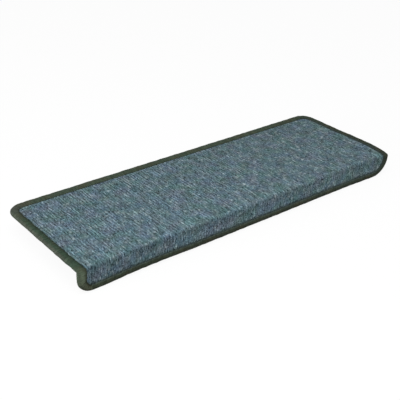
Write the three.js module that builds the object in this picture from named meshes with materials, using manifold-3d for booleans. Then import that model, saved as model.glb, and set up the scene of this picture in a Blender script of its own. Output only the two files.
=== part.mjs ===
// Stair tread mat: a looped carpet strip with a non-slip backing and a whipped edge, folded down over
// the front of a step. Millimetres, +Z up, +X along the step, +Y towards the back of the tread.
// The origin is on the underside of the tread, midway between the fold and the back edge.
import * as THREE from 'three';
import { mergeVertices } from 'three/addons/utils/BufferGeometryUtils.js';
import Module from 'manifold-3d';

// Outline of the mat, measured over the whipped edge
const matLength = 650;
const treadFlat = 211.2;
const noseFlat = 36.6;
const backCornerRadius = 25.5;
const hemCornerRadius = 20;

// Fold at the front of the step: the outside turns about a line inside the carpet, at this height above
// the underside, and the layers under that line turn a tight corner of their own
const bendAngle = THREE.MathUtils.degToRad(91.5);
const bendCentre = 2.6;
const insideRadius = 1;
const bendFacets = 6;

// Layers, from the underside up
const backingThickness = 1.8;
const groundThickness = 3.2;
const pileHeight = 1.5;
const bondGap = 0.3;

// Rows of loops, which run from the back edge over the fold to the hem
const rowPitch = 5;
const rowRelief = 0.9;
const pileRoot = 1;
const columnsPerRow = 3;

// Whipped edge: yarn wrapped round the rim of the carpet
const yarnOverTop = 2;
const yarnAtRim = 3;
const yarnLip = 0.7;
const lapSlope = 3;
const topLap = 12;
const bottomLap = 10;
const cornerFacets = 8;
const beadFacets = 6;

// Heights above the underside
const groundBottom = backingThickness + bondGap;
const groundTop = groundBottom + groundThickness;
const lapUnderside = groundTop + bondGap;
const edgeThickness = lapUnderside + yarnOverTop;
const rowCrest = groundTop + pileHeight;

// The flat pattern: v is 0 where the tread meets the bend, the back edge is +v and the hem is -v
const bendLength = (edgeThickness - bendCentre) * bendAngle;
const backLine = treadFlat;
const hemLine = -(bendLength + noseFlat);

const carpetColour = new THREE.MeshStandardMaterial({ color: 0x5d7077, roughness: 0.95, metalness: 0 });
const backingColour = new THREE.MeshStandardMaterial({ color: 0x26282a, roughness: 0.8, metalness: 0 });
const edgeColour = new THREE.MeshStandardMaterial({ color: 0x3d493d, roughness: 0.9, metalness: 0 });

// Folds a point of the flat pattern, at a height above the underside, to its place on the step. A layer
// with the inside radius starts its turn further back, so its flat lengths draw in by that setback.
function fold(x, v, height) {
  const radius = Math.max(insideRadius, height - bendCentre);
  const centre = height - radius;
  const setback = (bendCentre - centre) * Math.tan(bendAngle / 2);
  const turn = THREE.MathUtils.clamp(-v / bendLength, 0, 1) * bendAngle;
  const alongTread = Math.max(0, v) * (1 - setback / treadFlat);
  const downNose = Math.max(0, -v - bendLength) * (1 - setback / noseFlat);
  const y = setback + alongTread - radius * Math.sin(turn) - downNose * Math.cos(turn);
  const z = centre + radius * Math.cos(turn) - downNose * Math.sin(turn);
  return new THREE.Vector3(x, y - treadFlat / 2, z);
}

// Flat-pattern positions of the facet lines across the bend, from the nose side up to the tread side
function bendLines() {
  return Array.from({ length: bendFacets + 1 }, (_, k) => -bendLength * (1 - k / bendFacets));
}

// How far the outline, moved in by an inset, reaches at one x: [hem side, back side]
function depthRange(x, inset) {
  const shortfall = (radius) => {
    const r = radius - inset;
    const past = THREE.MathUtils.clamp(Math.abs(x) - (matLength / 2 - radius), 0, r);
    return r - Math.sqrt(r * r - past * past);
  };
  return [hemLine + inset + shortfall(hemCornerRadius), backLine - inset - shortfall(backCornerRadius)];
}

// A folded sheet: a box whose columns lie along x and whose rows cross the bend
function foldedSheet({ columns, inset, bottom, top }) {
  const rows = [hemLine, ...bendLines(), backLine];
  const box = new THREE.BoxGeometry(1, 1, 1, columns.length - 1, rows.length - 1, 1);
  box.deleteAttribute('normal');
  box.deleteAttribute('uv');
  const sheet = mergeVertices(box);
  const place = sheet.attributes.position;
  for (let i = 0; i < place.count; i++) {
    const column = Math.round((place.getX(i) + 0.5) * (columns.length - 1));
    const row = Math.round((place.getY(i) + 0.5) * (rows.length - 1));
    const x = columns[column];
    const v = THREE.MathUtils.clamp(rows[row], ...depthRange(x, inset));
    const height = place.getZ(i) < 0 ? bottom : top(column);
    place.setXYZ(i, ...fold(x, v, height));
  }
  return sheet;
}

// Columns for a plain sheet: close together round the corners, one long span between them
function plainColumns(inset) {
  const radius = Math.max(backCornerRadius, hemCornerRadius) - inset;
  const centre = matLength / 2 - inset - radius;
  const right = Array.from({ length: cornerFacets + 1 }, (_, k) =>
    centre + radius * Math.sin((k / cornerFacets) * Math.PI / 2));
  return [...right.map((x) => -x).reverse(), ...right];
}

// Columns for the rows of loops: the groove beside each row, then its shoulders
function rowColumns(inset) {
  const fieldLength = matLength - 2 * inset;
  const steps = columnsPerRow * Math.round(fieldLength / rowPitch);
  return Array.from({ length: steps + 1 }, (_, k) => fieldLength * (k / steps - 0.5));
}

function nonSlipBacking() {
  const inset = bottomLap + bondGap;
  return foldedSheet({ columns: plainColumns(inset), inset, bottom: 0, top: () => backingThickness });
}

// The ground lies under the whipped edge, and the rows of loops stand on it inside that edge
function carpetGround() {
  const inset = yarnAtRim + bondGap;
  return foldedSheet({ columns: plainColumns(inset), inset, bottom: groundBottom, top: () => groundTop });
}

function loopRows() {
  const inset = topLap + bondGap;
  const crest = (column) => rowCrest - (column % columnsPerRow === 0 ? rowRelief : 0);
  return foldedSheet({ columns: rowColumns(inset), inset, bottom: groundTop - pileRoot, top: crest });
}

// Points round the outline of the mat with their outward directions, anticlockwise from the hem
function edgeStations() {
  const stations = [];
  const corner = (side, centreV, radius, firstQuarter) => {
    for (let k = 0; k <= cornerFacets; k++) {
      const angle = (firstQuarter + k / cornerFacets) * Math.PI / 2;
      const out = new THREE.Vector2(Math.cos(angle), Math.sin(angle));
      stations.push({ x: side * (matLength / 2 - radius) + radius * out.x, v: centreV + radius * out.y, out });
    }
  };
  const acrossBend = (side, lines) => {
    for (const v of lines) stations.push({ x: side * matLength / 2, v, out: new THREE.Vector2(side, 0) });
  };
  corner(1, hemLine + hemCornerRadius, hemCornerRadius, -1);
  acrossBend(1, bendLines());
  corner(1, backLine - backCornerRadius, backCornerRadius, 0);
  corner(-1, backLine - backCornerRadius, backCornerRadius, 1);
  acrossBend(-1, bendLines().reverse());
  corner(-1, hemLine + hemCornerRadius, hemCornerRadius, 2);
  return stations;
}

// Section of the whipped edge, with x in from the rim and y up from the underside
function edgeSection() {
  const bead = edgeThickness / 2;
  const section = new THREE.Shape();
  section.moveTo(topLap, lapUnderside);
  section.lineTo(topLap, lapUnderside + yarnLip);
  section.quadraticCurveTo(topLap - lapSlope, edgeThickness, bead, edgeThickness);
  section.absarc(bead, bead, bead, Math.PI / 2, 1.5 * Math.PI, false);
  section.lineTo(bottomLap, 0);
  section.lineTo(bottomLap, backingThickness);
  section.lineTo(yarnAtRim, backingThickness);
  section.lineTo(yarnAtRim, lapUnderside);
  return section.getPoints(beadFacets);
}

// The section carried round the outline and over the fold, closed on itself
function whippedEdge() {
  const stations = edgeStations();
  const section = edgeSection();
  const positions = [];
  const faces = [];
  stations.forEach(({ x, v, out }, i) => {
    const next = (i + 1) % stations.length;
    section.forEach((point, j) => {
      positions.push(...fold(x - out.x * point.x, v - out.y * point.x, point.y));
      const k = (j + 1) % section.length;
      const [a, b] = [i * section.length + j, next * section.length + j];
      const [c, d] = [next * section.length + k, i * section.length + k];
      faces.push(a, c, b, a, d, c);
    });
  });
  const edge = new THREE.BufferGeometry();
  edge.setAttribute('position', new THREE.Float32BufferAttribute(positions, 3));
  edge.setIndex(faces);
  return edge;
}

const wasm = await Module();
wasm.setup();

function toSolid(geometry) {
  return new wasm.Manifold(new wasm.Mesh({
    numProp: 3,
    vertProperties: new Float32Array(geometry.attributes.position.array),
    triVerts: new Uint32Array(geometry.index.array),
  }));
}

function toGeometry(solid) {
  const mesh = solid.getMesh();
  const geometry = new THREE.BufferGeometry();
  geometry.setAttribute('position', new THREE.BufferAttribute(mesh.vertProperties, 3));
  geometry.setIndex(new THREE.BufferAttribute(mesh.triVerts, 1));
  return geometry;
}

function piece(name, geometry, material) {
  const mesh = new THREE.Mesh(geometry, material);
  mesh.name = name;
  return mesh;
}

const mat = new THREE.Group();
mat.add(
  piece('non_slip_backing', nonSlipBacking(), backingColour),
  piece('looped_carpet', toGeometry(toSolid(carpetGround()).add(toSolid(loopRows()))), carpetColour),
  piece('whipped_edge', whippedEdge(), edgeColour),
);

export default mat;
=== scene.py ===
import math
import bpy
import numpy as np
from mathutils import Matrix, Vector


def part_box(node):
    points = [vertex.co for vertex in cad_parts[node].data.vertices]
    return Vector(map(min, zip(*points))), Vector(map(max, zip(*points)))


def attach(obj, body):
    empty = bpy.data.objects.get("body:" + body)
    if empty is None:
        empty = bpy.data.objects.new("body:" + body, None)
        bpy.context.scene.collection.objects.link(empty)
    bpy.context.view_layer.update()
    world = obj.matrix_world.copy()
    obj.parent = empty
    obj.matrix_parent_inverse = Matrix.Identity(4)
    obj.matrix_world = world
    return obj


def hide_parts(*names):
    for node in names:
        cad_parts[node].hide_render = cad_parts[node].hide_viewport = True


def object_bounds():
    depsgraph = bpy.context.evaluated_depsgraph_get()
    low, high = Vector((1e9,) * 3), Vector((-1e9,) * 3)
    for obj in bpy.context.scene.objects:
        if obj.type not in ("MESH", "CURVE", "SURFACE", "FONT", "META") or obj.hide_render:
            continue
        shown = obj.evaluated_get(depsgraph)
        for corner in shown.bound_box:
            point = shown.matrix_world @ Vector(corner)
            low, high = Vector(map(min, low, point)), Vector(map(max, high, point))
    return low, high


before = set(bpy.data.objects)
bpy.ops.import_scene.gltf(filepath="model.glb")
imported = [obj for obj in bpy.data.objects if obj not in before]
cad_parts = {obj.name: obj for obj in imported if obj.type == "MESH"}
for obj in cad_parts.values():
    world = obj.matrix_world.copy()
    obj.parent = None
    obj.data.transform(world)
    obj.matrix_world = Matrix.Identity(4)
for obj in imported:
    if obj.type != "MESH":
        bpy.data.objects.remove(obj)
cad_low, cad_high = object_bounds()

# Sizes of the mat in metres, the same ones that its solids have
edge_low, edge_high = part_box("whipped_edge")
MAT_LENGTH = edge_high[0] - edge_low[0]
TREAD_FLAT = 2 * edge_high[1]
EDGE_THICKNESS = edge_high[2]
NOSE_FLAT = 0.0366
BACK_CORNER = 0.0255
BEND_ANGLE = math.radians(91.5)
BEND_CENTRE = 0.0026
INSIDE_RADIUS = 0.001
BEND_LENGTH = (EDGE_THICKNESS - BEND_CENTRE) * BEND_ANGLE
HEM_LINE = -(BEND_LENGTH + NOSE_FLAT)
BOND_GAP = 0.0003
BACKING_THICKNESS = 0.0018
GROUND_BOTTOM = 0.0021
GROUND_TOP = 0.0053
LAP_UNDERSIDE = 0.0056
YARN_AT_RIM = 0.003
YARN_LIP = 0.0007
TOP_LAP = 0.012
BOTTOM_LAP = 0.010

# Sizes that only the soft mat has: unlike corners at the hem, an uneven lap and dots under the backing
HEM_CORNER_LEFT = 0.022
HEM_CORNER_RIGHT = 0.034
BACK_WIDER = 0.0020
HEM_NARROWER = 0.0020
BESIDE_NOSE_WIDER = 0.0026
PILE_OFF_NOSE_SIDE = 0.0012
DOT_HEIGHT = 0.0005

# How the soft mat lies: it sags at the right end of its fold, and its hem and its sides wave a little
SAG = 0.0042
SAG_REACH = 0.048
RIGHT_HEM_LOWER = 0.0009
LEFT_HEM_LOWER = 0.0018
HEM_HIGHER = 0.0010
RIGHT_BULGE = 0.0018
RIGHT_FURTHER = 0.0004
LEFT_NOSE_NEARER = 0.0005
LEFT_TREAD_FURTHER = 0.0004
BACK_FURTHER = 0.0005

# Rows of loops in the pile: how far they fill the mat, their count, and the loops in each of them. A row has
# a groove, a shoulder, a crest and a shoulder, a loop has three lines, and the rows don't start together.
ROW_PITCH = 0.005
HALF_FIELD = MAT_LENGTH / 2 - TOP_LAP - BOND_GAP
ROWS = round(2 * HALF_FIELD / ROW_PITCH)
LOOP_LENGTH = 0.0042
FIELD_START = HEM_LINE + TOP_LAP - HEM_NARROWER + BOND_GAP
FIELD_END = TREAD_FLAT - TOP_LAP - BOND_GAP
LOOPS = round((FIELD_END - FIELD_START) / LOOP_LENGTH)
LOOP_STEP = (FIELD_END - FIELD_START) / LOOPS
FOLD_LOOP = -FIELD_START / LOOP_STEP
ROW_PLACES = (0, 0.17, 0.5, 0.83)
ROW_RISES = (0, 0.74, 1, 0.74)
LOOP_RISES = (0.4, 1, 1)
LOOP_SHIFTS = (0, -0.04, 0.04)
ROW_STAGGER = 0.618
PILE_BASE = 0.0003
LOOP_RISE = 0.0014

# Turns of yarn round the rim: each has a groove, a shoulder, a crest and a shoulder
TURN_PITCH = 0.0022
TURN_PLACES = (0, 0.2, 0.5, 0.8)
TURN_RISES = (0, 0.76, 1, 0.76)
TURN_RISE = 0.00042
TURN_UNLIKE = 0.00010
RIM_UNEVEN = 0.00025
RIM_FULLER = 0.0004
LAP_UNLIKE = 0.0005
RIM_CORNERS = (HEM_CORNER_LEFT, HEM_CORNER_RIGHT, BACK_CORNER, BACK_CORNER)
RIM_LENGTH = 2 * (MAT_LENGTH + TREAD_FLAT - HEM_LINE) - (2 - math.pi / 2) * sum(RIM_CORNERS)
TURNS = round(RIM_LENGTH / TURN_PITCH)

# The floor lies this far under the solids, and the photograph is this many pixels wide
FLOOR_BELOW = 0.0030
PHOTO_PIXELS = 400

fibre_luck = np.random.default_rng(41)


def fold(x, v, height):
    """Places of flat-pattern points (x along the step, v back from the fold) at heights above the underside.

    The sheet turns over the front of the step, and then takes the sag, waves and bulges of the soft mat.
    """
    radius = np.maximum(INSIDE_RADIUS, height - BEND_CENTRE)
    centre = height - radius
    setback = (BEND_CENTRE - centre) * math.tan(BEND_ANGLE / 2)
    turn = np.clip(-v / BEND_LENGTH, 0, 1) * BEND_ANGLE
    along_tread = np.maximum(0, v) * (1 - setback / TREAD_FLAT)
    down_nose = np.maximum(0, -v - BEND_LENGTH) * (1 - setback / NOSE_FLAT)
    y = setback + along_tread - radius * np.sin(turn) - down_nose * np.cos(turn)
    z = centre + radius * np.cos(turn) - down_nose * np.sin(turn)

    # Both ends and the back stand a little in or out, the right end most beside the front of the tread
    bulge = RIGHT_BULGE * ease(v, -0.014, 0.006) * (1 - ease(v, 0.075, 0.125))
    nearer = LEFT_NOSE_NEARER * ease(-v, 0, BEND_LENGTH + 0.008) * ease(-x, 0.2, 0.3)
    pull = nearer + (RIGHT_FURTHER + bulge) * ease(x, 0.2, 0.3)
    pull = pull - LEFT_TREAD_FURTHER * ease(-x, 0.25, 0.32) * ease(v, 0, 0.03)
    push = BACK_FURTHER * ease(v, 0.15, 0.21)

    # The fold sags towards the right corner, and the hem rises and falls at its left end
    on_nose = ease(-v, 0, BEND_LENGTH + 0.012)
    sag = np.clip(1 - v / SAG_REACH, 0, 1) ** 2 * (1 - 0.7 * ease(-v - BEND_LENGTH, 0, NOSE_FLAT))
    droop = SAG * ease(x, 0.25, 0.325) * sag
    droop = droop + RIGHT_HEM_LOWER * ease(x, 0.22, 0.27) * on_nose
    wave = LEFT_HEM_LOWER * ease(-x, 0.24, 0.29) * (1 - 0.85 * ease(-x, 0.295, 0.32))
    wave = wave - HEM_HIGHER * ease(-x, 0.10, 0.19) * (1 - ease(-x, 0.215, 0.26))
    z = z - droop - wave * on_nose
    return np.stack(np.broadcast_arrays(x + pull, y + push - TREAD_FLAT / 2, z), -1)


def hem_corner(x):
    """Radius of the hem's corner at the end of the mat that x is in."""
    return np.where(x > 0, HEM_CORNER_RIGHT, HEM_CORNER_LEFT)


def depth_range(x, inset):
    """How far the outline, moved in by an inset, reaches at x: its hem side and its back side."""
    def shortfall(corner):
        radius = corner - inset
        past = np.clip(np.abs(x) - (MAT_LENGTH / 2 - corner), 0, radius)
        return radius - np.sqrt(radius**2 - past**2)
    return HEM_LINE + inset + shortfall(hem_corner(x)), TREAD_FLAT - inset - shortfall(BACK_CORNER)


def inset_at(x, v):
    """How far inside the rim a flat-pattern point is."""
    inset = np.minimum(MAT_LENGTH / 2 - np.abs(x), np.minimum(TREAD_FLAT - v, v - HEM_LINE))
    hem = hem_corner(x)
    for corner, past_v in ((BACK_CORNER, v - (TREAD_FLAT - BACK_CORNER)), (hem, HEM_LINE + hem - v)):
        past_x = np.abs(x) - (MAT_LENGTH / 2 - corner)
        in_corner = (past_x > 0) & (past_v > 0)
        inset = np.where(in_corner, corner - np.hypot(past_x, past_v), inset)
    return inset


def ease(value, start, end):
    """0 before start, 1 after end and smooth between them."""
    t = np.clip((value - start) / (end - start), 0, 1)
    return t * t * (3 - 2 * t)


def make_piece(name, points, faces, finish, maps):
    """A smooth mesh object. Each map gives a place for every corner of every face, in order."""
    mesh = bpy.data.meshes.new(name)
    mesh.from_pydata(points.tolist(), [], faces)
    for map_name, places in maps.items():
        layer = mesh.uv_layers.new(name=map_name)
        layer.uv.foreach_set("vector", np.asarray(places, np.float32).ravel())
    mesh.shade_smooth()
    mesh.materials.append(finish)
    piece = bpy.data.objects.new(name, mesh)
    bpy.context.scene.collection.objects.link(piece)
    return piece


class Amount:
    """A shader socket that can stand in a Python expression. Each operation adds one Math node."""

    def __init__(self, finish, socket):
        self.finish = finish
        self.socket = socket

    def math(self, operation, *others):
        return self.finish.node("ShaderNodeMath", {"operation": operation}, dict(enumerate((self, *others))))

    def reflected(self, operation, other):
        return self.finish.node("ShaderNodeMath", {"operation": operation}, {0: other, 1: self})

    def __add__(self, other):
        return self.math("ADD", other)

    def __radd__(self, other):
        return self.math("ADD", other)

    def __sub__(self, other):
        return self.math("SUBTRACT", other)

    def __rsub__(self, other):
        return self.reflected("SUBTRACT", other)

    def __mul__(self, other):
        return self.math("MULTIPLY", other)

    def __rmul__(self, other):
        return self.math("MULTIPLY", other)

    def __truediv__(self, other):
        return self.math("DIVIDE", other)

    def __rtruediv__(self, other):
        return self.reflected("DIVIDE", other)

    def floor(self):
        return self.math("FLOOR")

    def fraction(self):
        return self.math("FRACT")

    def above(self, other):
        return self.math("GREATER_THAN", other)

    def sine(self):
        return self.math("SINE")

    def absolute(self):
        return self.math("ABSOLUTE")

    def least(self, other):
        return self.math("MINIMUM", other)

    def ramp(self, start, end, low=0.0, high=1.0):
        """low up to start, high from end, and smooth between them."""
        settings = {"interpolation_type": "SMOOTHSTEP"}
        places = {"Value": self, "From Min": start, "From Max": end, "To Min": low, "To Max": high}
        return self.finish.node("ShaderNodeMapRange", settings, places)


class Finish:
    """The shader nodes of a material, or of the surroundings."""

    def __init__(self, owner):
        owner.use_nodes = True
        self.owner = owner
        self.tree = owner.node_tree
        self.tree.nodes.clear()

    def node(self, kind, settings, places, output=0):
        """Adds a node: its settings first, then the values or links of its inputs."""
        node = self.tree.nodes.new(kind)
        for name, value in settings.items():
            if name == "stops":
                self.set_stops(node.color_ramp, value)
            else:
                setattr(node, name, value)
        for place, value in places.items():
            if isinstance(value, Amount):
                self.tree.links.new(value.socket, node.inputs[place])
            else:
                node.inputs[place].default_value = value
        return Amount(self, node.outputs[output]) if node.outputs else None

    def set_stops(self, ramp, stops):
        while len(ramp.elements) < len(stops):
            ramp.elements.new(0.5)
        for element, (position, colour) in zip(ramp.elements, stops):
            element.position = position
            element.color = (*colour, 1)

    def map_place(self, map_name):
        """The two numbers of a texture map at the point that is shaded."""
        place = self.node("ShaderNodeUVMap", {"uv_map": map_name}, {})
        split = self.node("ShaderNodeSeparateXYZ", {}, {"Vector": place})
        return split, Amount(self, split.socket.node.outputs["Y"])

    def vector(self, x, y, z):
        return self.node("ShaderNodeCombineXYZ", {}, {"X": x, "Y": y, "Z": z})

    def luck(self, x, y, z):
        """A value from 0 to 1 that jumps from one whole-number place to the next. Each use has its own z."""
        settings = {"noise_dimensions": "3D"}
        return self.node("ShaderNodeTexWhiteNoise", settings, {"Vector": self.vector(x, y, z)}, "Value")

    def cloud(self, x, y, z, detail=2.0, roughness=0.5):
        """A soft uneven value round 0.5. Each use has its own z."""
        places = {"Vector": self.vector(x, y, z), "Scale": 1.0, "Detail": detail, "Roughness": roughness}
        return self.node("ShaderNodeTexNoise", {"noise_dimensions": "3D"}, places, "Fac")

    def blend(self, share, first, second, kind="MIX"):
        """A colour between two colours, or one laid over the other."""
        settings = {"data_type": "RGBA", "blend_type": kind, "clamp_result": False}
        first, second = (c if isinstance(c, Amount) else (*c, 1) for c in (first, second))
        return self.node("ShaderNodeMix", settings, {0: share, 6: first, 7: second}, 2)

    def shade(self, colour, amount):
        """A colour made darker or lighter by an amount."""
        settings = {"operation": "SCALE"}
        return self.node("ShaderNodeVectorMath", settings, {0: colour, "Scale": amount})

    def raised(self, height, depth):
        """The normal of a surface whose fine relief is a height times a depth in metres."""
        return self.node("ShaderNodeBump", {}, {"Height": height, "Distance": depth, "Strength": 1.0})

    def done(self, **places):
        """Closes the material with its shader; the names are the shader's inputs with _ for a space."""
        inputs = {name.replace("_", " "): value for name, value in places.items()}
        shader = self.node("ShaderNodeBsdfPrincipled", {}, inputs)
        self.node("ShaderNodeOutputMaterial", {}, {"Surface": shader})
        return self.owner


def looped_yarn():
    """Mottled slate blue yarn. The map counts rows of loops in one direction and loops in the other."""
    yarn = Finish(bpy.data.materials.new("looped_yarn"))
    across_rows, along_rows = yarn.map_place("flat_pattern")
    row = across_rows.floor()
    across = across_rows.fraction()
    stagger = ((row * ROW_STAGGER).fraction() * len(LOOP_RISES)).floor() / len(LOOP_RISES)
    along = along_rows + stagger
    loop = along.floor()
    in_loop = along.fraction()

    # Tone: a chance of its own for each loop, strands, plies that run on along the row, pale strokes, flecks
    # and a wide shadow. On the nose the strokes are short.
    loop_tone = yarn.luck(row, loop, 1.0)
    strand = yarn.cloud(across_rows * 2.8, along * 0.80, 5.0, detail=1.0, roughness=0.6)
    ply = yarn.cloud(across_rows * 2.3, along * 0.13, 31.0, detail=1.0, roughness=0.6)
    shadow = yarn.cloud(across_rows * 0.42, along * 0.24, 21.0, detail=2.0, roughness=0.5)
    on_nose = along_rows.ramp(FOLD_LOOP - 2.0, FOLD_LOOP, 1.0, 0.0)
    short = yarn.cloud(across_rows * 2.6, along * 2.2, 51.0, detail=1.0, roughness=0.6)
    streaks = (ply.ramp(0.37, 0.75) - 0.31) * along_rows.ramp(FOLD_LOOP - 3.0, FOLD_LOOP, 0.40, 0.74)
    streaks = streaks + (short.ramp(0.3, 0.7) - 0.5) * (on_nose * 0.80)
    pale = yarn.cloud(across_rows * 2.6, along * 0.30, 45.0, detail=0.0).ramp(0.62, 0.76)
    tone = 0.44 + loop_tone * 0.12 + strand.ramp(0.3, 0.7) * 0.96 + pale * 0.66 + streaks
    tone = tone * shadow.ramp(0.25, 0.75, 0.87, 1.13)
    fleck = yarn.luck(row, loop, 9.0).above(0.955)
    tone = tone + fleck * 0.3

    # Hue: teal, slate and violet-grey in patches a few rows wide, under a drift from blue to grey, and paler
    # where the tone is high
    patch = yarn.cloud(across_rows * 0.19, along_rows * 0.15, 11.0, detail=2.0, roughness=0.55)
    hue = yarn.node("ShaderNodeValToRGB", {"stops": [
        (0.34, (0.088, 0.161, 0.168)),
        (0.46, (0.096, 0.159, 0.182)),
        (0.54, (0.100, 0.157, 0.192)),
        (0.66, (0.109, 0.153, 0.202)),
    ]}, {"Fac": patch})
    drift = yarn.cloud(across_rows * 0.3, along_rows * 0.2, 27.0, detail=2.0, roughness=0.5)
    tint = yarn.node("ShaderNodeValToRGB", {"stops": [
        (0.34, (0.93, 1.0, 1.05)),
        (0.50, (1.01, 1.0, 0.99)),
        (0.66, (1.11, 0.99, 0.93)),
    ]}, {"Fac": drift})
    hue = yarn.blend(1.0, hue, tint, "MULTIPLY")
    hue = yarn.blend(tone.ramp(0.7, 1.8, 0.0, 0.25), hue, (0.130, 0.158, 0.174))
    hue = yarn.blend(fleck * 0.4 + pale * 0.35, hue, (0.165, 0.195, 0.205))

    # Painted shade: grooves between the rows and dips between the loops are darker
    middle = (across - 0.5).absolute() * 2
    groove = middle.ramp(0.5, 1.0, 1.0, 0.84)
    dip_shade = ((in_loop - 0.5).absolute() * 2).ramp(0.6, 1.0, 1.0, 0.92)
    # Painted shade beside the whipped edge: the pile there is darker and tinted olive
    beside_edge = margin(across_rows, along_rows)
    hue = yarn.blend(beside_edge.ramp(0.0, 1.0, 0.5, 0.0), hue, (0.060, 0.080, 0.066))
    tone = tone * groove * dip_shade * fold_light_and_shade(along_rows) * beside_edge.ramp(0.0, 0.9, 0.78, 1.0)

    # Painted light: the colour is tinted warmer towards the right and the back, and painted shade makes it
    # darker at the back, on the nose and most at the left of the nose
    to_right = across_rows.ramp(15.0, 110.0)
    to_back = along_rows.ramp(20.0, 50.0)
    warm_light_tint = yarn.blend(1.0, hue, (1.04, 1.0, 0.965), "MULTIPLY")
    hue = yarn.blend(to_right * 0.75 + to_back * 0.25, hue, warm_light_tint)
    at_nose_left = across_rows.ramp(18.0, 34.0, 1.0, 0.0) * on_nose
    darker = at_nose_left * (across_rows.ramp(1.0, 6.0, 0.12, 0.0) + 0.15) + to_back * 0.065 + on_nose * 0.03
    colour = yarn.shade(hue, tone * (0.98 - darker))

    # Two plies twist round each other, with loose fibres on them
    twist = ((along * 5.0 + across * 2.2) * (2 * math.pi)).sine() * 0.5 + 0.5
    fuzz = yarn.cloud(across_rows * 9.0, along_rows * 8.0, 17.0, detail=3.0, roughness=0.7)
    normal = yarn.raised(twist * 0.6 + fuzz * 0.7, 0.00035)
    return yarn.done(Base_Color=colour, Roughness=0.95, Normal=normal, Specular_IOR_Level=0.08)


def margin(across_rows, along_rows):
    """How near the pile is to the whipped edge: 0 beside it, 1 where its painted shade and olive tint end.
    """
    side = (across_rows * 1.7).least((ROWS - across_rows) * 1.4)
    return side.least(along_rows * 0.6).least((LOOPS - along_rows) * 0.8)


def fold_light_and_shade(along_rows):
    """Painted highlight on the crests of the fold, and painted shade on the loops under them."""
    fold_highlight = (along_rows - (FOLD_LOOP + 0.4)).absolute().ramp(0.3, 1.6, 0.08, 0.0)
    under_fold = FOLD_LOOP - BEND_LENGTH / LOOP_STEP - 1.0
    shaded = (along_rows - under_fold).absolute().ramp(0.6, 2.4, 0.12, 0.0)
    return 1.0 + fold_highlight - shaded


def edge_yarn():
    """Dark grey-green yarn. The map counts turns along the rim and runs from 0 to 1 round the section."""
    yarn = Finish(bpy.data.materials.new("edge_yarn"))
    turns, round_section = yarn.map_place("yarn_turns")
    turn = turns.floor()
    across = turns.fraction()
    tone = 0.84 + yarn.luck(turn, 1.0, 3.0) * 0.32
    streak = yarn.cloud(turns * 0.9, round_section * 4.0, 2.0, detail=2.0, roughness=0.6)
    tone = tone * streak.ramp(0.25, 0.75, 0.74, 1.26)

    # Round the rim the colour is browner along the hem and the back and greener at the left end; it is
    # darker along the hem and the right end, which is painted shade, and light at the front corner, which is
    # a painted highlight
    rim_share = turns * (1 / TURNS)
    dye_and_painted_light = yarn.node("ShaderNodeValToRGB", {"stops": [
        (0.00, (0.035, 0.045, 0.029)),
        (0.10, (0.030, 0.039, 0.026)),
        (0.17, (0.034, 0.043, 0.030)),
        (0.40, (0.031, 0.042, 0.030)),
        (0.52, (0.041, 0.057, 0.040)),
        (0.83, (0.041, 0.057, 0.040)),
        (0.852, (0.056, 0.062, 0.050)),
        (0.88, (0.034, 0.056, 0.037)),
        (0.965, (0.032, 0.055, 0.037)),
        (0.974, (0.070, 0.093, 0.063)),
        (0.982, (0.066, 0.083, 0.056)),
        (0.991, (0.040, 0.047, 0.031)),
    ]}, {"Fac": rim_share})
    patch = yarn.cloud(turns * 0.09, round_section * 1.3, 4.0, detail=3.0, roughness=0.6)
    hue = yarn.blend(patch.ramp(0.46, 0.66, 0.0, 0.45), dye_and_painted_light, (0.054, 0.052, 0.031))
    # Painted sheen: the outer part of the section along the left end is greyer and lighter, where the rim
    # faces the light
    left_rim_sheen = rim_share.ramp(0.85, 0.88) * rim_share.ramp(0.94, 0.965, 1.0, 0.0)
    rim = yarn.blend(round_section.ramp(0.30, 0.46) * left_rim_sheen, hue, (0.053, 0.062, 0.048))
    # Painted shade darkens the grooves between the turns
    groove = ((across - 0.5).absolute() * 2).ramp(0.6, 1.0, 1.0, 0.62)

    # Painted shade: the lap is darker where it lies in the pile's shade, less so at the hem and the back,
    # and darker all across along the hem and the right end.
    # The front corner is darker with a painted highlight across it, and stray blue fibres of the pile lie on
    # the lap along the hem and the right end.
    at_hem = rim_share.ramp(0.33, 0.36, 1.0, 0.0)
    at_back = rim_share.ramp(0.49, 0.51) * rim_share.ramp(0.83, 0.86, 1.0, 0.0)
    at_right = rim_share.ramp(0.30, 0.345) * rim_share.ramp(0.47, 0.49, 1.0, 0.0)
    inside = round_section.ramp(0.02, 0.30, 1.0, 0.0)
    lap_painted_light = 1.03 - at_hem * 0.20 - at_right * 0.10 + inside * (at_hem * 0.68 + at_back * 0.28 - 0.34)
    at_corner = rim_share.ramp(0.966, 0.976)
    corner_highlight = round_section.ramp(0.06, 0.20) * round_section.ramp(0.28, 0.42, 1.0, 0.0)
    lap_painted_light = lap_painted_light + at_corner * (corner_highlight * 0.55 - 0.20)
    strays = at_hem.least(1.0 - at_right) * 0.30 + at_right * 0.50
    rim = yarn.blend(round_section.ramp(0.04, 0.17, 1.0, 0.0) * strays, rim, (0.070, 0.100, 0.104))
    colour = yarn.shade(rim, tone * groove * lap_painted_light)
    twist = ((round_section * 22.0 + across * 1.2) * (2 * math.pi)).sine() * 0.5 + 0.5
    fuzz = yarn.cloud(turns * 4.0, round_section * 60.0, 6.0, detail=3.0, roughness=0.7)
    normal = yarn.raised(twist * 0.5 + fuzz * 0.6, 0.0002)
    return yarn.done(Base_Color=colour, Roughness=0.85, Normal=normal, Specular_IOR_Level=0.06)


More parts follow.
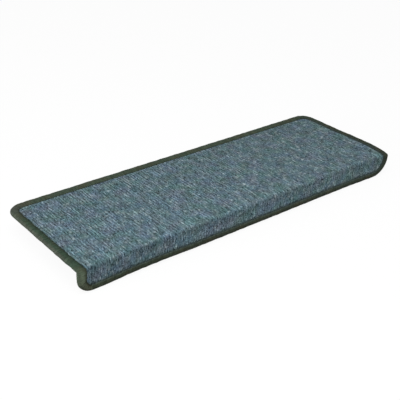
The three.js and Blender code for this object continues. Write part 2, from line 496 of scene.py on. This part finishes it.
def grip_rubber():
    """Dark rubber with a fine grain and paler dots. The map counts the dots, on its points of one parity."""
    rubber = Finish(bpy.data.materials.new("grip_rubber"))
    across, along = rubber.map_place("dot_pattern")
    waves = [((count + 0.5) * math.pi).sine() for count in (across, along)]
    dot = (waves[0] * waves[1]).ramp(0.15, 0.7)
    grain = rubber.cloud(across * 5.0, along * 5.0, 3.0, detail=4.0, roughness=0.65)
    dust = rubber.cloud(across * 0.08, along * 0.08, 8.0, detail=3.0)
    hue = rubber.blend(dot, (0.017, 0.018, 0.019), (0.040, 0.042, 0.045))
    colour = rubber.shade(hue, dust.ramp(0.3, 0.7, 0.8, 1.2) * grain.ramp(0.3, 0.7, 0.86, 1.14))
    normal = rubber.raised(grain * 0.5 + dot, 0.0003)
    roughness = dust.ramp(0.3, 0.7, 0.58, 0.76)
    return rubber.done(Base_Color=colour, Roughness=roughness, Normal=normal, Specular_IOR_Level=0.4)


def wander(rows, loops, shape):
    """An uneven amount from -1 to 1 that drifts smoothly from loop to loop and from row to row."""
    knots = fibre_luck.uniform(-1, 1, shape)
    row, loop = (np.clip(place, 0, size - 1.001) for place, size in zip((rows, loops), shape))
    i = row.astype(int)
    j = loop.astype(int)
    past_row = row - i
    past_loop = loop - j
    near = knots[i, j] * (1 - past_loop) + knots[i, j + 1] * past_loop
    far = knots[i + 1, j] * (1 - past_loop) + knots[i + 1, j + 1] * past_loop
    return near * (1 - past_row) + far * past_row


def pile_columns():
    """Columns of the pile across its rows: place along the step, and count of rows from the first groove."""
    pitch = 2 * HALF_FIELD / ROWS
    counts = np.append((np.arange(ROWS)[:, None] + np.array(ROW_PLACES)).ravel(), ROWS)
    half_ground = MAT_LENGTH / 2 - YARN_AT_RIM - BOND_GAP
    radius = BACK_CORNER - YARN_AT_RIM - BOND_GAP
    centre = half_ground - radius
    first = math.asin((HALF_FIELD - centre) / radius)
    rim = centre + radius * np.sin(first + (math.pi / 2 - first) * np.arange(1, 6) / 5)
    x = np.concatenate([-rim[::-1], counts * pitch - HALF_FIELD, rim])
    return x, (x + HALF_FIELD) / pitch


def looped_carpet(finish):
    """The ground cloth with its rows of loops, one closed mesh folded over the front of the step."""
    x, row_count = pile_columns()
    per_row = len(ROW_PLACES)
    per_loop = len(LOOP_RISES)
    rim = (len(x) - 1 - per_row * ROWS) // 2
    lap = np.array([0.3, 0.6, 1.0])
    hem_lap = FIELD_START - lap[::-1] * (TOP_LAP - HEM_NARROWER - YARN_AT_RIM)
    back_lap = FIELD_END + lap * (TOP_LAP - YARN_AT_RIM)
    v = np.concatenate([hem_lap, np.linspace(FIELD_START, FIELD_END, per_loop * LOOPS + 1), back_lap])
    loop_count = (v - FIELD_START) / LOOP_STEP

    # Place in the pile of every vertex: its row, its loop, and where it is in both
    column = np.clip(np.arange(len(x)) - rim, 0, per_row * ROWS - 1)
    sample = np.arange(len(v)) - len(lap)
    row = column // per_row
    stagger = np.floor(np.modf(row * ROW_STAGGER)[0] * per_loop).astype(int)
    step = sample[None, :] + stagger[:, None] + per_loop
    in_loop = step % per_loop
    loop = step // per_loop
    luck = fibre_luck.uniform(-1, 1, (3, ROWS, LOOPS + 4))
    tall, aside, swing = luck[:, row[:, None], np.clip(loop, 0, LOOPS + 3)]
    across_rise = np.array(ROW_RISES)[column % per_row][:, None]
    along_rise = np.array(LOOP_RISES)[in_loop]
    on_loop = (across_rise > 0) * 1.0
    at_row = np.broadcast_to(np.clip(row_count, 0, ROWS)[:, None], tall.shape)
    at_loop = np.broadcast_to(np.clip(loop_count, 0, LOOPS)[None, :], tall.shape)
    drift, creep, swell = (wander(at_row, at_loop, (ROWS + 2, LOOPS + 2)) for _ in range(3))

    # The outline is rounded at the corners, where the loops close up, and the pile ends beside the lap
    hem_side, back_side = depth_range(x, YARN_AT_RIM + BOND_GAP)
    flat_x = np.broadcast_to(x[:, None], tall.shape)
    flat_v = drawn_in(v, hem_side, back_side, 0.028, 0.028)

    inset = inset_at(flat_x, flat_v)
    lap_end = TOP_LAP + BACK_WIDER * ease(flat_v, TREAD_FLAT - 0.030, TREAD_FLAT - 0.020)
    lap_end = lap_end - HEM_NARROWER * ease(HEM_LINE + 0.024 - flat_v, 0.0, 0.008)
    beside_nose = ease(-flat_v, 0, BEND_LENGTH) * ease(HEM_LINE + 0.030 - flat_v, -0.006, 0)
    lap_end = lap_end + PILE_OFF_NOSE_SIDE * beside_nose
    free = ease(inset, lap_end + BOND_GAP, lap_end + 0.0036)
    open_field = ease(inset, lap_end - 0.0004, lap_end + BOND_GAP)
    rise = PILE_BASE + LOOP_RISE * across_rise * along_rise * (1 + 0.22 * tall + 0.15 * swell)
    height = GROUND_TOP + rise * (0.35 + 0.65 * free) * open_field
    sideways = (0.00025 * aside * on_loop + 0.00075 * drift) * free
    lengthways = (np.array(LOOP_SHIFTS)[in_loop] + 0.06 * swing) * on_loop + 0.12 * creep
    worked = fold(flat_x + sideways, flat_v + lengthways * LOOP_STEP * free, height)
    plain = fold(flat_x, flat_v, np.full(flat_x.shape, GROUND_BOTTOM))
    counts = np.stack(np.broadcast_arrays(row_count[:, None], loop_count[None, :]), -1)
    flat = np.stack([flat_x, flat_v], -1)
    return sheet_piece("looped_carpet_pile", finish, worked, plain, flat, "flat_pattern", counts)


def drawn_in(v, hem_side, back_side, hem_reach, back_reach):
    """Lines across the sheet, drawn in to its rounded outline over a reach that keeps their order."""
    longer = 1.25
    hem_shift = (hem_side - v[0])[:, None]
    back_shift = (v[-1] - back_side)[:, None]
    hem_pull = hem_shift * np.clip(1 - (v - v[0]) / np.maximum(hem_reach, longer * hem_shift), 0, 1)
    back_pull = back_shift * np.clip(1 - (v[-1] - v) / np.maximum(back_reach, longer * back_shift), 0, 1)
    return v[None, :] + hem_pull - back_pull


def plain_columns(x):
    """Columns that a plain side keeps, closer together towards the ends, where the mat sags and waves."""
    spacing = np.interp(np.abs(x), [0.08, 0.09, 0.21, 0.22], [0.030, 0.020, 0.020, 0.010])
    kept = [0]
    for column in range(1, len(x) - 1):
        if x[column] - x[kept[-1]] >= spacing[column]:
            kept.append(column)
    return [*kept, len(x) - 1]


def sheet_piece(name, finish, worked, plain, flat, map_name, counts, turned_over=False):
    """A closed sheet: a grid of points on its worked side, walls round the rim and a wider grid behind."""
    number = np.arange(worked[..., 0].size).reshape(worked.shape[:2])
    grid = np.stack([number[:-1, :-1], number[1:, :-1], number[1:, 1:], number[:-1, 1:]], -1).reshape(-1, 4)
    ring = np.concatenate([number[:-1, 0], number[-1, :-1], number[:0:-1, -1], number[0, :0:-1]])
    after = np.roll(ring, -1)
    kept = plain_columns(flat[:, 0, 0])
    used = np.zeros(number.shape, bool)
    used[kept] = True
    used[:, [0, -1]] = True
    behind = np.full(number.shape, -1)
    behind[used] = number.size + np.arange(used.sum())
    far = behind.ravel()
    walls = np.stack([far[ring], far[after], after, ring], -1)
    inner = behind[kept, 1:-1]
    plain_grid = np.stack([inner[:-1, :-1], inner[:-1, 1:], inner[1:, 1:], inner[1:, :-1]], -1)

    # Fans of triangles join the wider grid behind to every point of the walls at the hem and at the back
    hem = behind[:, 0].tolist()
    back = behind[:, -1].tolist()
    caps = []
    for left, right, near, last in zip(kept, kept[1:], inner.tolist(), inner[1:].tolist()):
        caps.append([hem[right], near[0], last[0]])
        caps.append([back[right], last[-1], near[-1]])
        caps += [[hem[column + 1], hem[column], near[0]] for column in range(left, right)]
        caps += [[back[column], back[column + 1], near[-1]] for column in range(left, right)]
    order = -1 if turned_over else 1
    faces = [*grid.tolist(), *walls.tolist(), *plain_grid.reshape(-1, 4).tolist(), *caps]
    faces = [face[::order] for face in faces]
    points = np.concatenate([worked.reshape(-1, 3), plain[used]])

    # Spread for the bake: the worked side, then the walls, then the plain side, one above the other
    source = np.concatenate([np.arange(number.size), number[used]])
    corners = np.concatenate([np.asarray(face) for face in faces])
    flat = flat.reshape(-1, 2)
    share = (flat[source] - flat.min(axis=0)) / (flat.max(axis=0) - flat.min(axis=0))
    worked_spread = (0.005, 0.005) + share * (0.99, 0.64)
    plain_spread = (0.005, 0.70) + share * (0.99, 0.29)
    spread = plain_spread[corners]
    spread[:grid.size] = worked_spread[corners[:grid.size]]
    begin = np.arange(len(ring)) / len(ring)
    finish_at = begin + 1 / len(ring)
    wall_u = 0.005 + 0.99 * np.stack([begin, finish_at, finish_at, begin], -1)
    wall_w = np.broadcast_to([0.655, 0.655, 0.685, 0.685], wall_u.shape)
    wall_spread = np.stack([wall_u, wall_w], -1)[:, ::order]
    spread[grid.size:grid.size + walls.size] = wall_spread.reshape(-1, 2)
    maps = {"OFBake": spread, map_name: counts.reshape(-1, 2)[source][corners]}
    return make_piece(name, points, faces, finish, maps)


def rim_place(distance):
    """Flat-pattern place and outward direction at a distance round the rim, anticlockwise."""
    half = MAT_LENGTH / 2
    quarter = math.pi / 2
    corners = [
        (half - HEM_CORNER_RIGHT, HEM_LINE + HEM_CORNER_RIGHT, HEM_CORNER_RIGHT, -quarter),
        (half - BACK_CORNER, TREAD_FLAT - BACK_CORNER, BACK_CORNER, 0.0),
        (BACK_CORNER - half, TREAD_FLAT - BACK_CORNER, BACK_CORNER, quarter),
        (HEM_CORNER_LEFT - half, HEM_LINE + HEM_CORNER_LEFT, HEM_CORNER_LEFT, 2 * quarter),
    ]
    side = TREAD_FLAT - HEM_LINE - BACK_CORNER
    hem_run = 2 * half - HEM_CORNER_LEFT - HEM_CORNER_RIGHT
    runs = [hem_run, side - HEM_CORNER_RIGHT, 2 * (half - BACK_CORNER), side - HEM_CORNER_LEFT]
    place = np.zeros((*distance.shape, 2))
    out = np.zeros_like(place)
    left = distance % RIM_LENGTH
    for (cx, cv, radius, first), run in zip(corners, runs):
        start = np.array([cx + radius * math.cos(first), cv + radius * math.sin(first)])
        ahead = np.array([-math.sin(first), math.cos(first)])
        on_run = (left >= 0) & (left < run)
        place[on_run] = start + (left[on_run, None] - run) * ahead
        out[on_run] = (math.cos(first), math.sin(first))
        left = left - run
        arc = radius * quarter
        on_arc = (left >= 0) & (left < arc)
        angle = first + left[on_arc] / radius
        direction = np.stack([np.cos(angle), np.sin(angle)], -1)
        place[on_arc] = (cx, cv) + radius * direction
        out[on_arc] = direction
        left = left - arc
        left = np.where(left < 0, -1.0, left)
    return place, out


def edge_section():
    """Points of the wrapped section (distance in from the rim, height), and how many are on its outside."""
    bead = EDGE_THICKNESS / 2
    points = [(TOP_LAP, LAP_UNDERSIDE), (TOP_LAP, LAP_UNDERSIDE + YARN_LIP)]
    for t in (0.25, 0.55):
        inset = TOP_LAP + t * (bead - TOP_LAP)
        height = EDGE_THICKNESS - (1 - t) ** 2 * (EDGE_THICKNESS - LAP_UNDERSIDE - YARN_LIP)
        points.append((inset, height))
    for k in range(9):
        angle = math.pi / 2 + math.pi * k / 8
        points.append((bead + bead * math.cos(angle), bead + bead * math.sin(angle)))
    points.append((0.5 * (bead + BOTTOM_LAP), 0.0))
    points.append((BOTTOM_LAP, 0.0))
    outside = len(points)
    points.append((BOTTOM_LAP, BACKING_THICKNESS))
    points.append((YARN_AT_RIM, BACKING_THICKNESS))
    points.append((YARN_AT_RIM, LAP_UNDERSIDE))
    return np.array(points), outside


def whipped_edge(finish):
    """Yarn wrapped turn by turn over the rim, all the way round, as one closed mesh."""
    section, outside = edge_section()
    count = len(section)
    steps = np.linalg.norm(np.diff(section[:outside], axis=0), axis=1)
    along = np.zeros(count)
    along[1:outside] = np.cumsum(steps) / steps.sum()
    along[outside:] = [1.02, 1.05, 1.08]
    ahead = np.roll(section, -1, axis=0) - np.roll(section, 1, axis=0)
    inward = np.stack([-ahead[:, 1], ahead[:, 0]], -1)
    inward /= np.linalg.norm(inward, axis=1)[:, None]
    centre = section[:outside].mean(axis=0)
    inward *= np.sign(((centre - section) * inward).sum(axis=1))[:, None]
    depth = np.zeros(count)
    depth[1:outside - 1] = 1

    # Each turn is a ridge that slants round the section, fatter or thinner and leaning as the yarn does
    pitch = RIM_LENGTH / TURNS
    turn = np.repeat(np.arange(TURNS), len(TURN_PLACES))
    rise = np.tile(TURN_RISES, TURNS)
    counts = turn + np.tile(TURN_PLACES, TURNS)
    fat, ends, lean = fibre_luck.uniform(-1, 1, (3, TURNS))
    on_yarn = (rise > 0) * 1.0
    slant = 0.9 * (along - 0.5) * depth
    leaning = 0.12 * lean[turn][:, None] * on_yarn[:, None]
    place, out = rim_place((counts[:, None] + slant + leaning) * pitch)
    knots = fibre_luck.uniform(-1, 1, TURNS // 3 + 2)
    uneven = np.interp(counts % TURNS, np.arange(TURNS // 3 + 2) * 3, knots)[:, None]
    sink = TURN_RISE * (1 - rise)[:, None] + TURN_UNLIKE * (fat[turn] * on_yarn)[:, None]
    sink = sink + RIM_UNEVEN * uneven
    outward = RIM_FULLER * np.clip(1 - section[:, 0] / 0.006, 0, 1)
    inset = section[:, 0] + inward[:, 0] * sink * depth - outward
    height = section[:, 1] + inward[:, 1] * sink * depth

    # The lap reaches further in at the back and beside the nose, and less far at the hem
    lip = np.zeros(count)
    lip[0:4] = [1, 1, 0.7, 0.3]
    beside_nose = np.abs(out[..., 0]) * ease(-place[..., 1], 0, BEND_LENGTH)
    at_back = np.clip(out[..., 1], 0, 1)
    at_hem = np.clip(-out[..., 1], 0, 1)
    wider = 0.0002 + BACK_WIDER * at_back - HEM_NARROWER * at_hem + BESIDE_NOSE_WIDER * beside_nose
    inset = inset + (wider + LAP_UNLIKE * ends[turn][:, None] + 0.0004 * uneven) * lip
    points = fold(place[..., 0] - out[..., 0] * inset, place[..., 1] - out[..., 1] * inset, height)

    # Faces between one ring of the section and the next, with their turns and places round the section
    number = np.arange(len(counts) * count).reshape(len(counts), count)
    after = np.roll(number, -1, axis=0)
    faces = np.stack([number, np.roll(number, -1, axis=1), np.roll(after, -1, axis=1), after], -1)
    first = np.broadcast_to(counts[:, None], number.shape)
    second = np.broadcast_to(np.append(counts[1:], TURNS)[:, None], number.shape)
    low = np.broadcast_to(along, number.shape)
    high = np.broadcast_to(np.append(along[1:], 1.1), number.shape)
    turn_corners = np.stack([first, first, second, second], -1)
    section_corners = np.stack([low, high, high, low], -1)
    yarn_turns = np.stack([turn_corners, section_corners], -1).reshape(-1, 2)

    # Spread for the bake: the rim cut in lengths, laid beside each other
    lengths = 10
    band = np.repeat(np.repeat(counts / TURNS * lengths, count).astype(int), 4)
    along_band = 0.003 + 0.994 * (yarn_turns[:, 0] / TURNS * lengths - band)
    across_bands = (band + 0.04 + 0.92 * yarn_turns[:, 1] / 1.1) / lengths
    spread = np.clip(np.stack([along_band, across_bands], -1), 0, 1)
    maps = {"OFBake": spread, "yarn_turns": yarn_turns}
    faces = faces.reshape(-1, 4).tolist()
    return make_piece("whipped_edge_yarn", points.reshape(-1, 3), faces, finish, maps)


def grip_backing(finish):
    """The rubber sheet under the carpet, with low dots that grip the step."""
    inset = BOTTOM_LAP + BOND_GAP
    half = MAT_LENGTH / 2 - inset
    radius = BACK_CORNER - inset
    column_pitch = 0.004
    inner = np.linspace(radius - half, half - radius, 2 * round((half - radius) / column_pitch) + 1)
    corner = half - radius + radius * np.sin(np.arange(1, 7) / 6 * math.pi / 2)
    x = np.concatenate([-corner[::-1], inner, corner])

    # Lines across the sheet are 2 mm apart, and closer round the bend. A dot stands at every second one.
    hem_side, back_side = depth_range(x, inset)
    tread_v = np.linspace(0, TREAD_FLAT - inset, 107)
    bend_v = np.linspace(-BEND_LENGTH, 0, 7)[:-1]
    nose_v = np.linspace(HEM_LINE + inset, -BEND_LENGTH, 14)[:-1]
    v = np.concatenate([nose_v, bend_v, tread_v])
    flat_v = drawn_in(v, hem_side, back_side, 0.018, 0.028)
    flat_x = np.broadcast_to(x[:, None], flat_v.shape)
    column, line = np.indices(flat_v.shape)
    away = np.minimum(np.minimum(column, len(x) - 1 - column), np.minimum(line, len(v) - 1 - line))
    dot = ((column + line // 2) % 2 == 0) & (line % 2 == 0) & (away > 1)
    worked = fold(flat_x, flat_v, np.where(dot, 0.0, DOT_HEIGHT))
    plain = fold(flat_x, flat_v, np.full(flat_v.shape, BACKING_THICKNESS))
    counts = np.stack([column, line / 2], -1)
    flat = np.stack([flat_x, flat_v], -1)
    return sheet_piece("grip_backing_sheet", finish, worked, plain, flat, "dot_pattern", counts,
                       turned_over=True)


def studio():
    """White surroundings, a pale floor at the hem, and soft lamps above, at the left and in front."""
    world = bpy.data.worlds.new("studio")
    bpy.context.scene.world = world
    sky = Finish(world)
    rays = ("Is Camera Ray", "Is Glossy Ray", "Is Transmission Ray")
    camera_ray, glossy_ray, passing_ray = (sky.node("ShaderNodeLightPath", {}, {}, ray) for ray in rays)
    seen = (camera_ray + glossy_ray + passing_ray).least(1.0)
    white = sky.node("ShaderNodeBackground", {}, {"Color": (1, 1, 1, 1), "Strength": seen * 0.5 + 0.5})
    sky.node("ShaderNodeOutputWorld", {}, {"Surface": white})

    paper = Finish(bpy.data.materials.new("white_paper"))
    seen = paper.node("ShaderNodeLightPath", {}, {}, "Is Camera Ray")
    matt = paper.node("ShaderNodeBsdfDiffuse", {}, {"Color": (0.82, 0.82, 0.82, 1)})
    glow = paper.node("ShaderNodeEmission", {}, {"Color": (1, 1, 1, 1), "Strength": 1.0})
    both = paper.node("ShaderNodeMixShader", {}, {0: seen * 0.93, 1: matt, 2: glow})
    paper.node("ShaderNodeOutputMaterial", {}, {"Surface": both})

    far = 6.0
    level = cad_low[2] - FLOOR_BELOW
    corners = [(-far, -far, level), (far, -far, level), (far, far, level), (-far, far, level)]
    floor_mesh = bpy.data.meshes.new("floor")
    floor_mesh.from_pydata(corners, [], [(0, 1, 2, 3)])
    floor_mesh.materials.append(paper.owner)
    floor = bpy.data.objects.new("floor", floor_mesh)
    bpy.context.scene.collection.objects.link(floor)

    add_lamp("above", (-0.8, -0.75, 1.75), (0.0, 0.0, 0.0), 1.6, 35.5)
    add_lamp("left", (-1.5, 0.1, 0.35), (-0.1, 0.0, 0.0), 0.7, 10.0)
    add_lamp("front", (0.6, -1.7, 0.5), (0.0, 0.0, 0.0), 1.2, 2.2)


def add_lamp(name, place, target, size, power):
    """A round soft lamp that points at its target."""
    light = bpy.data.lights.new(name, "AREA")
    light.shape = "DISK"
    light.size = size
    light.energy = power
    lamp = bpy.data.objects.new(name, light)
    bpy.context.scene.collection.objects.link(lamp)
    lamp.location = place
    lamp.rotation_euler = (Vector(target) - Vector(place)).to_track_quat("-Z", "Y").to_euler()


def photo_camera():
    """The photograph's view, from a fit of the mat's outline: angle, roll, distance and lens."""
    azimuth, elevation, roll = (math.radians(angle) for angle in (-39.53, 28.98, 1.92))
    distance = 1.27208
    focal_pixels = 797.09
    target = Vector((-0.06188, 0.05873 - TREAD_FLAT / 2, EDGE_THICKNESS / 2))
    level_away = math.cos(elevation)
    away = Vector((math.sin(azimuth) * level_away, -math.cos(azimuth) * level_away, math.sin(elevation)))
    right = Vector((math.cos(azimuth), math.sin(azimuth), 0))
    up = away.cross(right)
    rolled_right = math.cos(roll) * right + math.sin(roll) * up
    rolled_up = math.cos(roll) * up - math.sin(roll) * right
    data = bpy.data.cameras.new("photo_camera")
    data.sensor_width = 36
    data.lens = focal_pixels / PHOTO_PIXELS * data.sensor_width
    data.clip_start = 0.05
    data.clip_end = 50
    camera = bpy.data.objects.new("photo_camera", data)
    bpy.context.scene.collection.objects.link(camera)
    turn = Matrix((rolled_right, rolled_up, away)).transposed()
    camera.matrix_world = Matrix.Translation(target + away * distance) @ turn.to_4x4()
    bpy.context.scene.camera = camera


bpy.context.scene.view_settings.view_transform = "Standard"
photo_camera()
studio()

carpet = looped_carpet(looped_yarn())
edge = whipped_edge(edge_yarn())
backing = grip_backing(grip_rubber())
for piece, node, slot in (
    (carpet, "looped_carpet", "loop_pile"),
    (edge, "whipped_edge", "edge_yarn"),
    (backing, "non_slip_backing", "backing_sheet"),
):
    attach(piece, "root")
    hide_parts(node)
